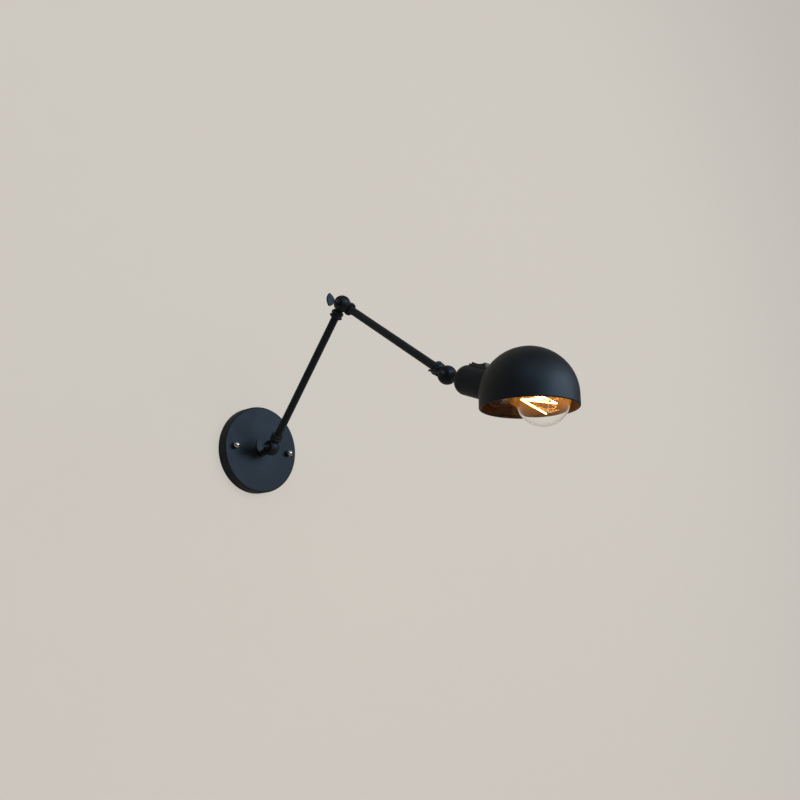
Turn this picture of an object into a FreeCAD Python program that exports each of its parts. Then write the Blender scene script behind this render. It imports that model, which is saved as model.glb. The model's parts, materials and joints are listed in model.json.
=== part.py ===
"""A swing arm wall lamp: a round wall plate, a swivelling stem, two tube arms on split ball joints with
thumb screws, and a lamp head with a rocker switch, a screw-in bulb and a domed shade.

Frame: the wall is the plane Y = 0 and the lamp stands out of it towards -Y, with +Z up. The origin is the
centre of the two wall screws. All sizes are millimetres and degrees.
"""

import FreeCAD
import Part
import Sketcher
import math
import os
import re

SIZES = {
    # fits
    "face_gap": 0.05,
    "thread_gap": 0.05,
    "hole_gap": 0.3,
    "swing_gap": 0.35,
    # wall plate and its fixing
    "plate_diameter": 120,
    "plate_depth": 16.3,
    "plate_sheet": 1.5,
    "plate_edge": 2.5,
    "bar_length": 106,
    "bar_width": 18,
    "bar_sheet": 2,
    "bar_corner": 5,
    "wall_screw_spacing": 60,
    "wall_slot_width": 5,
    "wall_slot_length": 12,
    "cable_hole": 13,
    "stud_spacing": 90,
    "stud_diameter": 4,
    "stud_reach": 5,
    "lock_nut_flats": 7,
    "lock_nut_height": 3.2,
    "ball_nut_diameter": 9.5,
    "ball_nut_foot": 6,
    "ball_nut_foot_height": 0.8,
    "earth_offset": 16,
    "earth_head_diameter": 7.5,
    "earth_head_height": 2.4,
    "terminal_offset": 10.5,
    "terminal_length": 12.5,
    "terminal_width": 16,
    "terminal_height": 9,
    "terminal_pitch": 4.6,
    "terminal_screw_diameter": 2.6,
    "terminal_screw_spacing": 6,
    "terminal_screw_height": 3,
    # swivel stem
    "nipple_diameter": 10,
    "nipple_wall": 1.2,
    "nipple_tail": 1,
    "nipple_nut_flats": 14,
    "nipple_nut_height": 4,
    "spring_washer_diameter": 17,
    "spring_washer_sheet": 1.2,
    "swivel_disc_diameter": 20,
    "pivot_reach": 23,
    # ball joints
    "ball_diameter": 22,
    "washer_sheet": 0.8,
    "washer_inner": 15.4,
    "washer_outer": 21,
    "pocket_diameter": 15,
    "pocket_depth": 5,
    "post_diameter": 8.8,
    "screw_diameter": 4,
    "screw_hole_depth": 8.4,
    "spot_face_out": 7.2,
    "neck_wall": 2.4,
    "neck_round": 3,
    "neck_top": 10.6,
    "cup_rise": 13.7,
    "cup_diameter": 16.2,
    "cup_band": 1.4,
    "collar_groove_width": 2.4,
    "collar_groove_round": 1.35,
    "collar_ring_root": 15.6,
    "collar_ring_width": 2.6,
    "collar_ring_round": 1.4,
    "collar_lip_diameter": 13.4,
    "collar_lip": 0.9,
    "tube_seat": 13.4,
    # thumb screws
    "thumb_flange_diameter": 8.8,
    "thumb_flange": 1.2,
    "thumb_neck_round": 6,
    "thumb_shank_diameter": 4.4,
    "thumb_root": 13.4,
    "thumb_shoulder": 21,
    "thumb_edge": 22.6,
    "thumb_width": 17.3,
    "thumb_corner": 1.2,
    "thumb_edge_round": 11.8,
    "thumb_sheet": 2.4,
    "thumb_side_round": 18,
    "head_thumb_turn": -71,
    # arms
    "arm_length": 221.9,
    "tube_diameter": 10,
    "tube_wall": 1,
    "lower_arm_rise": 51,
    "upper_arm_rise": -36.15,
    "holder_rise": -21.5,
    # leads
    "lead_diameter": 2,
    "lead_gap": 0.2,
    "lead_root": 6.5,
    "lead_bend": 3,
    "lead_level": 5,
    # lamp holder
    "cap_start": 20.4,
    "cap_diameter": 33.5,
    "cap_wall": 1.5,
    "cap_shoulder": 11,
    "neck_flange_diameter": 14,
    "neck_flange": 1.4,
    "spigot_tail": 2,
    "core_start": 57,
    "core_length": 6,
    "sleeve_end": 90,
    "sleeve_wall": 1.4,
    "shell_sheet": 0.4,
    "shell_length": 24,
    "contact_diameter": 6,
    "contact_height": 2.4,
    # switch
    "switch_out": 44,
    "rocker_length": 21,
    "rocker_width": 8,
    "rocker_corner_height": 5,
    "rocker_sag": 1.9,
    "rocker_depth": 4,
    "rocker_foot": 7,
    "rocker_throw": 16,
    "rocker_pivot": 17,
    "rocker_pin_diameter": 2,
    "tub_wall": 0.9,
    "tub_floor": 1.2,
    "bezel_top": 18.3,
    "bezel_rim": 0.4,
    "rocker_room": 1.6,
    # shade
    "shade_out": 117.5,
    "shade_cant": 21.5,
    "shade_diameter": 102.4,
    "shade_skirt": 11.6,
    "shade_sheet": 1.4,
    "shade_bead": 2.4,
    "ring_diameter": 41,
    "ring_height": 5,
    # bulb
    "bulb_diameter": 55,
    "bulb_length": 97.6,
    "bulb_glass": 0.8,
    "bulb_neck_diameter": 25.2,
    "bulb_shoulder": 40,
    "bulb_cap_sheet": 0.4,
    "bulb_cap_length": 26.5,
    "bulb_button_diameter": 9.2,
    "bulb_button": 1.6,
    "bulb_insulator": 3.6,
    "bulb_insulator_diameter": 23,
    "bulb_cap_chamfer": 1.4,
    "bulb_cap_overlap": 6,
    "stem_flare": 1,
    "stem_diameter": 6.4,
    "stem_length": 20,
    "filament_rod_diameter": 2,
    "filament_low": 27,
    "filament_high": 58,
    "filament_low_radius": 8,
    "filament_high_radius": 13,
    "filament_diameter": 0.9,
    "filament_hooks": 4,
    "filament_lead_split": 12,
    "hook_diameter": 0.6,
}

doc = FreeCAD.newDocument("swing_arm_wall_lamp")
sheet = doc.addObject("Spreadsheet::Sheet", "Sheet")
for row, (alias, size) in enumerate(SIZES.items(), 1):
    sheet.set(f"A{row}", alias)
    sheet.set(f"B{row}", str(size))
    sheet.setAlias(f"B{row}", alias)
doc.recompute()

SUBPARTS = []


def formula(text):
    """The expression that reads each named size from the sheet."""
    return re.sub(r"[a-z_]+", lambda word: f"Sheet.{word[0]}" if word[0] in SIZES else word[0], text)


def number(text):
    """What a formula is worth at the sheet's sizes."""
    return float(sheet.evalExpression(formula(text)))


def bind(thing, prop, text):
    thing.setExpression(prop, formula(text))


# Places. A frame is a point of the plane X = 0 and a turn about X, and its own z axis points along a piece.
PIVOT_OUT = "(plate_depth + pivot_reach)"
ELBOW_OUT = f"({PIVOT_OUT} + arm_length * cos(lower_arm_rise))"
ELBOW_UP = "(arm_length * sin(lower_arm_rise))"
HEAD_OUT = f"({ELBOW_OUT} + arm_length * cos(upper_arm_rise))"
HEAD_UP = f"({ELBOW_UP} + arm_length * sin(upper_arm_rise))"
SHADE_OUT = f"({HEAD_OUT} + shade_out * cos(holder_rise))"
SHADE_UP = f"({HEAD_UP} + shade_out * sin(holder_rise))"

WALL = ("0", "0", "90")
STEM = (f"-{PIVOT_OUT}", "0", "-90")
LOWER_ARM = (f"-{PIVOT_OUT}", "0", "(90 - lower_arm_rise)")
LOWER_ARM_BACK = (f"-{ELBOW_OUT}", ELBOW_UP, "(-90 - lower_arm_rise)")
UPPER_ARM = (f"-{ELBOW_OUT}", ELBOW_UP, "(90 - upper_arm_rise)")
UPPER_ARM_BACK = (f"-{HEAD_OUT}", HEAD_UP, "(-90 - upper_arm_rise)")
HEAD = (f"-{HEAD_OUT}", HEAD_UP, "(90 - holder_rise)")
SHADE = (f"-{SHADE_OUT}", SHADE_UP, "(-holder_rise - shade_cant)")
BASE_PIVOT = (f"-{PIVOT_OUT}", "0", "0")
ELBOW_PIVOT = (f"-{ELBOW_OUT}", ELBOW_UP, "0")
HEAD_PIVOT = (f"-{HEAD_OUT}", HEAD_UP, "head_thumb_turn")


def place(thing, frame, x="0", y="0", z="0", turn="0"):
    """Puts a piece at a point of a frame, turned further about X."""
    out, up, tilt = frame
    thing.Placement = FreeCAD.Placement(FreeCAD.Vector(), FreeCAD.Rotation(FreeCAD.Vector(1, 0, 0), 1))
    bind(thing, "Placement.Rotation.Angle", f"{tilt} + {turn}")
    bind(thing, "Placement.Base.x", x)
    bind(thing, "Placement.Base.y", f"{out} + cos({tilt}) * ({y}) - sin({tilt}) * ({z})")
    bind(thing, "Placement.Base.z", f"{up} + sin({tilt}) * ({y}) + cos({tilt}) * ({z})")


def keep(thing, label):
    """Marks a finished sub-part and names it."""
    thing.Label = label
    SUBPARTS.append(thing)
    return thing


def arc_between(start, end, radius, turn):
    """The short arc of a radius from start to end, turning anticlockwise (1) or clockwise (-1)."""
    chord = end - start
    rise = math.sqrt(max(radius ** 2 - (chord.Length / 2) ** 2, 0))
    left = FreeCAD.Vector(-chord.y, chord.x, 0).normalize()
    centre = (start + end) / 2 + left * (turn * rise)
    circle = Part.Circle(centre, FreeCAD.Vector(0, 0, 1), radius)
    first, last = (start, end) if turn > 0 else (end, start)
    angles = [math.atan2(point.y - centre.y, point.x - centre.x) for point in (first, last)]
    return Part.ArcOfCircle(circle, *angles)


def measure(sketch, kind, *where):
    """Adds a dimension to a sketch and ties it to its formula."""
    *ends, text = where
    made = sketch.addConstraint(Sketcher.Constraint(kind, *ends, number(text)))
    bind(sketch, f"Constraints[{made}]", text)


def draw_circle(sketch, x, y, radius):
    centre = FreeCAD.Vector(number(x), number(y), 0)
    edge = sketch.addGeometry(Part.Circle(centre, FreeCAD.Vector(0, 0, 1), number(radius)), False)
    measure(sketch, "DistanceX", -1, 1, edge, 3, x)
    measure(sketch, "DistanceY", -1, 1, edge, 3, y)
    measure(sketch, "Radius", edge, radius)


def draw_loop(sketch, corners):
    """A closed outline. A corner is (across, along), and where an arc leads to it also the arc's radius and
    its turn: 1 anticlockwise, -1 clockwise."""
    points = [FreeCAD.Vector(number(corner[0]), number(corner[1]), 0) for corner in corners]
    edges = []
    for index, corner in enumerate(corners):
        start, end = points[index - 1], points[index]
        if len(corner) == 2:
            edge = sketch.addGeometry(Part.LineSegment(start, end), False)
            edges.append((edge, 1, 2))
        else:
            radius, turn = corner[2:]
            edge = sketch.addGeometry(arc_between(start, end, number(radius), turn), False)
            edges.append((edge, 1, 2) if turn > 0 else (edge, 2, 1))
    for index, corner in enumerate(corners):
        edge, _, last = edges[index]
        following, first, _ = edges[(index + 1) % len(edges)]
        sketch.addConstraint(Sketcher.Constraint("Coincident", edge, last, following, first))
        measure(sketch, "DistanceX", -1, 1, edge, last, corner[0])
        measure(sketch, "DistanceY", -1, 1, edge, last, corner[1])
    for corner, (edge, _, _) in zip(corners, edges):
        if len(corner) > 2:
            measure(sketch, "Radius", edge, corner[2])


def draw(body, plane_role, *loops):
    """A sketch on one of a body's own planes: closed outlines, and circles as (x, y, radius)."""
    sketch = body.newObject("Sketcher::SketchObject", f"{body.Name}_outline")
    plane = next(item for item in body.Origin.OriginFeatures if item.Role == plane_role)
    sketch.AttachmentSupport = (plane, [""])
    sketch.MapMode = "FlatFace"
    for loop in loops:
        if isinstance(loop, tuple):
            draw_circle(sketch, *loop)
        else:
            draw_loop(sketch, loop)
    return sketch


def new_body(name, frame, **offset):
    body = doc.addObject("PartDesign::Body", name)
    place(body, frame, **offset)
    return body


def turn(body, kind, outline, axis="V_Axis"):
    """Turns an outline of the XZ plane round the vertical or the level axis: a Revolution adds, a Groove cuts."""
    sketch = draw(body, "XZ_Plane", outline)
    feature = body.newObject(f"PartDesign::{kind}", f"{body.Name}_{kind.lower()}")
    feature.Profile = sketch
    feature.ReferenceAxis = (sketch, [axis])
    feature.Angle = 360
    return feature


def turned(name, frame, outline, axis="V_Axis", **offset):
    body = new_body(name, frame, **offset)
    turn(body, "Revolution", outline, axis)
    return body


def padded(name, frame, plane_role, loops, height, midplane=False, **offset):
    body = new_body(name, frame, **offset)
    pad = body.newObject("PartDesign::Pad", f"{name}_pad")
    pad.Profile = draw(body, plane_role, *loops)
    pad.SideType = "Symmetric" if midplane else "One side"
    bind(pad, "Length", height)
    return body


def rod(name, frame, radius, length, **offset):
    """A plain round bar along the frame's z axis."""
    bar = doc.addObject("Part::Cylinder", name)
    bind(bar, "Radius", radius)
    bind(bar, "Height", length)
    place(bar, frame, **offset)
    return bar


def block(name, frame, sizes, centre):
    """A box, centred across x and y and standing on its z."""
    box = doc.addObject("Part::Box", name)
    for side, size in zip(("Length", "Width", "Height"), sizes):
        bind(box, side, size)
    x, y, z = centre
    place(box, frame, x=f"{x} - ({sizes[0]}) / 2", y=f"{y} - ({sizes[1]}) / 2", z=z)
    return box


def fused(name, pieces):
    whole = doc.addObject("Part::MultiFuse", name)
    whole.Shapes = pieces
    return whole


def cut(name, base, tools):
    whole = doc.addObject("Part::Cut", name)
    whole.Base = base
    whole.Tool = tools[0] if len(tools) == 1 else fused(f"{name}_tools", tools)
    return whole


def group(name, pieces):
    """Separate like solids that share one node."""
    whole = doc.addObject("Part::Compound", name)
    whole.Links = pieces
    return whole


def ring(inner, outer, low, high):
    """The outline of a plain turned ring."""
    return [(inner, low), (outer, low), (outer, high), (inner, high)]


def hexagon(flats):
    corner = f"({flats}) / sqrt(3)"
    return [(f"{corner} * cos({60 * side})", f"{corner} * sin({60 * side})") for side in range(6)]


def hex_nut(name, frame, flats, bore, height, **offset):
    return padded(name, frame, "XY_Plane", [hexagon(flats), ("0", "0", bore)], height, **offset)


# Wall fixing
STUD_HOLE = "stud_diameter / 2 + thread_gap"
STUD_SIDES = ("stud_spacing / 2", "-stud_spacing / 2")


def slot(x):
    """A long hole of the mounting bar, along the bar."""
    half, run = "(wall_slot_width / 2)", "(wall_slot_length / 2 - wall_slot_width / 2)"
    return [
        (f"{x} + {run}", f"-{half}"),
        (f"{x} + {run} + {half}", "0", half, 1),
        (f"{x} + {run}", half, half, 1),
        (f"{x} - {run}", half),
        (f"{x} - {run} - {half}", "0", half, 1),
        (f"{x} - {run}", f"-{half}", half, 1),
    ]


def mounting_bar():
    """A flat steel bar against the wall, with slots for the wall screws and a hole for the supply cable."""
    end, side, corner = "(bar_length / 2)", "(bar_width / 2)", "bar_corner"
    outline = [
        (f"{end} - {corner}", f"-{side}"),
        (end, f"-{side} + {corner}", corner, 1),
        (end, f"{side} - {corner}"),
        (f"{end} - {corner}", side, corner, 1),
        (f"-{end} + {corner}", side),
        (f"-{end}", f"{side} - {corner}", corner, 1),
        (f"-{end}", f"-{side} + {corner}"),
        (f"-{end} + {corner}", f"-{side}", corner, 1),
    ]
    slots = [slot(f"{sign}wall_screw_spacing / 2") for sign in ("", "-")]
    holes = [(x, "0", STUD_HOLE) for x in (*STUD_SIDES, "-earth_offset")]
    loops = [outline, *slots, *holes, ("0", "0", "cable_hole / 2")]
    keep(padded("mounting_bar", WALL, "XY_Plane", loops, "bar_sheet"), "mounting_bar")


def wall_studs():
    """Two threaded studs in the bar, their lock nuts, and the ball nuts that hold the plate."""
    reach = "plate_depth + stud_reach"
    studs = [rod(f"stud_{side}", WALL, "stud_diameter / 2", reach, x=x) for side, x in enumerate(STUD_SIDES)]
    keep(group("mounting_studs", studs), "mounting_studs")
    nuts = [
        hex_nut(f"lock_nut_{side}", WALL, "lock_nut_flats", STUD_HOLE, "lock_nut_height", x=x, z="bar_sheet")
        for side, x in enumerate(STUD_SIDES)
    ]
    keep(group("stud_lock_nuts", nuts), "stud_lock_nuts")
    ball, foot, rise = "ball_nut_diameter / 2", "ball_nut_foot / 2", "ball_nut_foot_height"
    crown = f"{rise} + sqrt(({ball}) ^ 2 - ({foot}) ^ 2) + {ball}"
    outline = [
        (STUD_HOLE, "0"),
        (foot, "0"),
        (foot, rise),
        ("0", crown, ball, 1),
        ("0", "stud_reach + hole_gap"),
        (STUD_HOLE, "stud_reach + hole_gap"),
    ]
    balls = [turned(f"ball_nut_{side}", WALL, outline, x=x, z="plate_depth") for side, x in enumerate(STUD_SIDES)]
    keep(group("ball_nuts", balls), "ball_nuts")


def wall_plate():
    """A deep drawn round cover with a rounded front edge."""
    rim, sheet_in, edge = "plate_diameter / 2", "plate_diameter / 2 - plate_sheet", "plate_edge"
    flat, inner_edge = f"{rim} - {edge}", f"({edge} - plate_sheet)"
    bore = "nipple_diameter / 2 + thread_gap"
    outline = [
        (rim, "0"),
        (rim, f"plate_depth - {edge}"),
        (flat, "plate_depth", edge, 1),
        (bore, "plate_depth"),
        (bore, "plate_depth - plate_sheet"),
        (flat, "plate_depth - plate_sheet"),
        (sheet_in, f"plate_depth - {edge}", inner_edge, -1),
        (sheet_in, "0"),
    ]
    cover = turned("plate_cover", WALL, outline)
    holes = [
        rod(f"plate_hole_{side}", WALL, "stud_diameter / 2 + hole_gap", "plate_depth * 2", x=x)
        for side, x in enumerate(STUD_SIDES)
    ]
    keep(cut("wall_plate", cover, holes), "wall_plate")


def earth_screw():
    """A pan head screw in the bar, for the earth lead."""
    shank, head = "stud_diameter / 2", "earth_head_diameter / 2"
    top = "bar_sheet + earth_head_height"
    outline = [
        ("0", "0"),
        (shank, "0"),
        (shank, "bar_sheet"),
        (head, "bar_sheet"),
        (head, f"{top} - earth_head_height / 2"),
        (f"{head} - earth_head_height / 2", top, "earth_head_height / 2", 1),
        ("0", top),
    ]
    keep(turned("earth_screw", WALL, outline, x="-earth_offset"), "earth_screw")


TERMINAL_SIDES = ("terminal_pitch / 2", "-terminal_pitch / 2")
LEAD = "lead_diameter / 2"


def terminal():
    """A two-pole terminal block on the bar, with its clamp screws and the supply leads to the swivel."""
    middle = "terminal_offset + terminal_length / 2"
    sizes = ("terminal_length", "terminal_width", "terminal_height")
    housing = block("terminal_housing", WALL, sizes, (middle, "0", "bar_sheet"))
    tools = []
    screws = []
    top = "bar_sheet + terminal_height"
    well = "terminal_screw_diameter / 2 + thread_gap"
    for pole, y in enumerate(TERMINAL_SIDES):
        way = doc.addObject("Part::Cylinder", f"terminal_way_{pole}")
        bind(way, "Radius", f"{LEAD} + lead_gap")
        bind(way, "Height", "terminal_length * 2")
        way.Placement.Rotation = FreeCAD.Rotation(FreeCAD.Vector(0, 1, 0), 90)
        bind(way, "Placement.Base.x", "terminal_offset - terminal_length / 2")
        bind(way, "Placement.Base.y", "-lead_level")
        bind(way, "Placement.Base.z", y)
        tools.append(way)
        for end, sign in enumerate("+-"):
            x = f"{middle} {sign} terminal_screw_spacing / 2"
            name = f"terminal_screw_{pole}_{end}"
            floor = f"{top} - terminal_screw_height"
            screws.append(rod(name, WALL, "terminal_screw_diameter / 2", "terminal_screw_height", x=x, y=y, z=floor))
            tools.append(rod(f"{name}_well", WALL, well, "terminal_height", x=x, y=y, z=floor))
    keep(cut("terminal_block", housing, tools), "terminal_block")
    keep(group("terminal_screws", screws), "terminal_screws")
    leads = []
    for pole, y in enumerate(TERMINAL_SIDES):
        rise = rod(f"supply_rise_{pole}", WALL, LEAD, "plate_depth - lead_level", y=y, z="lead_level + lead_bend")
        bend = doc.addObject("Part::Torus", f"supply_bend_{pole}")
        bind(bend, "Radius1", "lead_bend")
        bind(bend, "Radius2", LEAD)
        bend.Angle3 = 90
        bend.Placement.Rotation = FreeCAD.Rotation(FreeCAD.Vector(0, 0, 1), 90)
        bind(bend, "Placement.Base.x", "lead_bend")
        bind(bend, "Placement.Base.y", "-lead_level - lead_bend")
        bind(bend, "Placement.Base.z", y)
        run = doc.addObject("Part::Cylinder", f"supply_run_{pole}")
        bind(run, "Radius", LEAD)
        bind(run, "Height", f"{middle} - lead_bend")
        run.Placement.Rotation = FreeCAD.Rotation(FreeCAD.Vector(0, 1, 0), 90)
        bind(run, "Placement.Base.x", "lead_bend")
        bind(run, "Placement.Base.y", "-lead_level")
        bind(run, "Placement.Base.z", y)
        leads.append(fused(f"supply_lead_{pole}", [rise, bend, run]))
    keep(group("supply_leads", leads), "supply_leads")


# Ball joints
BALL = "(ball_diameter / 2)"
SPLIT = "(washer_sheet / 2 + face_gap)"
LEAD_SIDE = f"({SPLIT} + lead_gap + {LEAD})"
LEAD_PITCH = "(lead_diameter + lead_gap)"
BORE = f"(sqrt({LEAD_SIDE} ^ 2 + ({LEAD_PITCH} / 2) ^ 2) + {LEAD} + lead_gap)"
WAIST = f"({BORE} + neck_wall)"
NECK_ROOT = "(pocket_diameter / 2 + face_gap)"
SOCKET = "(tube_diameter / 2 + thread_gap)"
COLLAR_END = "(cup_rise + cup_band + collar_groove_width + collar_ring_width + collar_lip)"
SPIGOT_END = "(cap_start + cap_wall + nipple_nut_height + spigot_tail)"


def collar_outline():
    """A turned neck: a rounded cup on the ball, a groove, a round ring and a short lip."""
    cup_top = "cup_rise + cup_band"
    ring_low = f"{cup_top} + collar_groove_width"
    ring_high = f"{ring_low} + collar_ring_width"
    return [
        ("0", NECK_ROOT),
        (WAIST, NECK_ROOT),
        (WAIST, "neck_top"),
        ("cup_diameter / 2", "cup_rise", "neck_round", 1),
        ("cup_diameter / 2", cup_top),
        ("collar_ring_root / 2", ring_low, "collar_groove_round", -1),
        ("collar_ring_root / 2", ring_high, "collar_ring_round", 1),
        ("collar_lip_diameter / 2", ring_high),
        ("collar_lip_diameter / 2", COLLAR_END),
        ("0", COLLAR_END),
    ]


def spigot_outline():
    """The neck of the lamp holder: a flange that the cap sits against and a threaded spigot."""
    return [
        ("0", NECK_ROOT),
        (WAIST, NECK_ROOT),
        (WAIST, "cap_start - neck_flange - neck_round / 2"),
        ("neck_flange_diameter / 2", "cap_start - neck_flange", "neck_round", 1),
        ("neck_flange_diameter / 2", "cap_start"),
        ("nipple_diameter / 2", "cap_start"),
        ("nipple_diameter / 2", SPIGOT_END),
        ("0", SPIGOT_END),
    ]


def half_ball(side, threaded):
    """Half of a hollow ball, turned about the pivot, with a post for the thumb screw. The threaded half has a
    blind hole; the other has a through hole and a flat for the screw's flange."""

    def out(text):
        return f"{side} * ({text})"

    hole = "screw_diameter / 2 + thread_gap" if threaded else "screw_diameter / 2 + hole_gap"
    outline = [
        (out(SPLIT), hole),
        (out(SPLIT), "post_diameter / 2"),
        (out(f"{SPLIT} + pocket_depth"), "post_diameter / 2"),
        (out(f"{SPLIT} + pocket_depth"), "pocket_diameter / 2"),
        (out(SPLIT), "pocket_diameter / 2"),
        (out(SPLIT), f"sqrt({BALL} ^ 2 - {SPLIT} ^ 2)"),
    ]
    if threaded:
        outline += [
            (out(BALL), "0", BALL, -side),
            (out("screw_hole_depth"), "0"),
            (out("screw_hole_depth"), hole),
        ]
    else:
        outline += [
            (out("spot_face_out"), f"sqrt({BALL} ^ 2 - spot_face_out ^ 2)", BALL, -side),
            (out("spot_face_out"), hole),
        ]
    return outline


def knuckle(label, frame, side, neck, end, threaded, socket):
    """One half of a ball joint and its neck. The neck is round, so it is cut back to clear the half that turns
    beside it; the lead's bore opens into the ball's pocket."""
    body = new_body(label, frame)
    turn(body, "Revolution", neck)
    room = f"({BALL} + swing_gap)"
    beside = [
        (f"{side} * {SPLIT}", "0"),
        (f"{side} * {SPLIT}", f"sqrt({room} ^ 2 - {SPLIT} ^ 2)"),
        (f"{-side} * {room}", "0", room, side),
    ]
    turn(body, "Groove", beside, "H_Axis")
    turn(body, "Revolution", half_ball(side, threaded), "H_Axis")
    turn(body, "Groove", ring("0", BORE, "post_diameter / 2", f"{end} + 1"))
    if socket:
        turn(body, "Groove", ring("0", SOCKET, "tube_seat", f"{end} + 1"))
    keep(body, label)


def friction_washer(label, frame):
    """The ring that the two halves of a ball are clamped on."""
    outline = ring("-washer_sheet / 2", "washer_sheet / 2", "washer_inner / 2", "washer_outer / 2")
    keep(turned(label, frame, outline, "H_Axis"), label)


def thumb_screw(label, frame):
    """A screw along the pivot with a flange against the ball and a flat leaf-shaped thumb piece."""
    flange = "(spot_face_out + face_gap)"
    body = turned(
        label,
        frame,
        [
            ("screw_hole_depth - hole_gap", "0"),
            ("screw_hole_depth - hole_gap", "screw_diameter / 2"),
            (f"-{flange}", "screw_diameter / 2"),
            (f"-{flange}", "thumb_flange_diameter / 2"),
            (f"-{flange} - thumb_flange", "thumb_flange_diameter / 2"),
            ("-thumb_root", "thumb_shank_diameter / 2", "thumb_neck_round", -1),
            ("-thumb_root", "0"),
        ],
        "H_Axis",
    )
    half, foot = "(thumb_width / 2)", "(thumb_shank_diameter / 2)"
    leaf = [
        ("-thumb_root", foot),
        ("-thumb_shoulder", half, "thumb_side_round", 1),
        ("-thumb_edge", half, "thumb_corner", 1),
        ("-thumb_edge", f"-{half}", "thumb_edge_round", 1),
        ("-thumb_shoulder", f"-{half}", "thumb_corner", 1),
        ("-thumb_root", f"-{foot}", "thumb_side_round", 1),
    ]
    blade = body.newObject("PartDesign::Pad", f"{label}_blade")
    blade.Profile = draw(body, "XZ_Plane", leaf)
    blade.SideType = "Symmetric"
    bind(blade, "Length", "thumb_sheet")
    keep(body, label)


def leads(label, frame, side, start, end):
    """Two leads side by side in a joint's bore, on the side of the joint's own half."""
    run = f"({end}) - ({start})"
    wires = [
        rod(f"{label}_{wire}", frame, LEAD, run, x=f"{side} * {LEAD_SIDE}", y=f"{sign}{LEAD_PITCH} / 2", z=start)
        for wire, sign in enumerate(("", "-"))
    ]
    keep(group(label, wires), label)


def swivel_stem():
    """The stem turns in the plate on a hollow threaded nipple, held by a nut on a spring washer."""
    inside = "plate_depth - plate_sheet - face_gap"
    nut_top = f"{inside} - spring_washer_sheet - face_gap"
    nipple = "nipple_diameter / 2"
    tail = f"{nut_top} - nipple_nut_height - nipple_tail"
    outline = ring(f"{nipple} - nipple_wall", nipple, tail, f"{PIVOT_OUT} - tube_seat - face_gap")
    keep(turned("swivel_nipple", WALL, outline), "swivel_nipple")
    bore = f"{nipple} + thread_gap"
    washer = ring(bore, "spring_washer_diameter / 2", f"{inside} - spring_washer_sheet", inside)
    keep(turned("spring_washer", WALL, washer), "spring_washer")
    nut = hex_nut(
        "swivel_nut", WALL, "nipple_nut_flats", bore, "nipple_nut_height", z=f"{nut_top} - nipple_nut_height"
    )
    keep(nut, "swivel_nut")
    low, high = "plate_depth + face_gap", f"{PIVOT_OUT} - {COLLAR_END}"
    keep(turned("swivel_disc", WALL, ring(bore, "swivel_disc_diameter / 2", low, high)), "swivel_disc")


def arm_tube(label, frame):
    """A round tube screwed into the necks of its two joints."""
    low, high = "tube_seat + face_gap", "arm_length - tube_seat - face_gap"
    outer = "tube_diameter / 2"
    keep(turned(label, frame, ring(f"{outer} - tube_wall", outer, low, high)), label)


def ball_joints():
    collar = collar_outline()
    knuckle("stem_knuckle", STEM, 1, collar, COLLAR_END, True, True)
    friction_washer("base_washer", BASE_PIVOT)
    thumb_screw("base_thumb_screw", BASE_PIVOT)
    knuckle("lower_arm_foot", LOWER_ARM, -1, collar, COLLAR_END, False, True)
    arm_tube("lower_tube", LOWER_ARM)
    knuckle("lower_arm_head", LOWER_ARM_BACK, -1, collar, COLLAR_END, False, True)
    friction_washer("elbow_washer", ELBOW_PIVOT)
    thumb_screw("elbow_thumb_screw", ELBOW_PIVOT)
    knuckle("upper_arm_foot", UPPER_ARM, 1, collar, COLLAR_END, True, True)
    arm_tube("upper_tube", UPPER_ARM)
    knuckle("upper_arm_head", UPPER_ARM_BACK, 1, collar, COLLAR_END, True, True)
    friction_washer("head_washer", HEAD_PIVOT)
    thumb_screw("head_thumb_screw", HEAD_PIVOT)
    knuckle("holder_knuckle", HEAD, -1, spigot_outline(), SPIGOT_END, False, False)
    leads("lower_leads", LOWER_ARM, -1, "lead_root", "arm_length - lead_root")
    leads("upper_leads", UPPER_ARM, 1, "lead_root", "arm_length - lead_root")
    leads("holder_leads", HEAD, -1, "lead_root", "core_start + core_length / 2")


# Lamp holder
CAP = "(cap_diameter / 2)"
CAP_IN = "(cap_diameter / 2 - cap_wall)"
SLEEVE = f"({CAP_IN} - thread_gap)"
SLEEVE_IN = f"({SLEEVE} - sleeve_wall)"
SHELL = f"({SLEEVE_IN} - thread_gap)"
SHELL_IN = f"({SHELL} - shell_sheet)"
CORE_END = "(core_start + core_length)"
SHADE_R = "(shade_diameter / 2)"


def on_dome(radius, dome):
    """How far along the holder a sphere about the shade's centre lies, at a distance from the holder's axis."""
    return f"shade_out - sqrt(({dome}) ^ 2 - ({radius}) ^ 2)"


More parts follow.
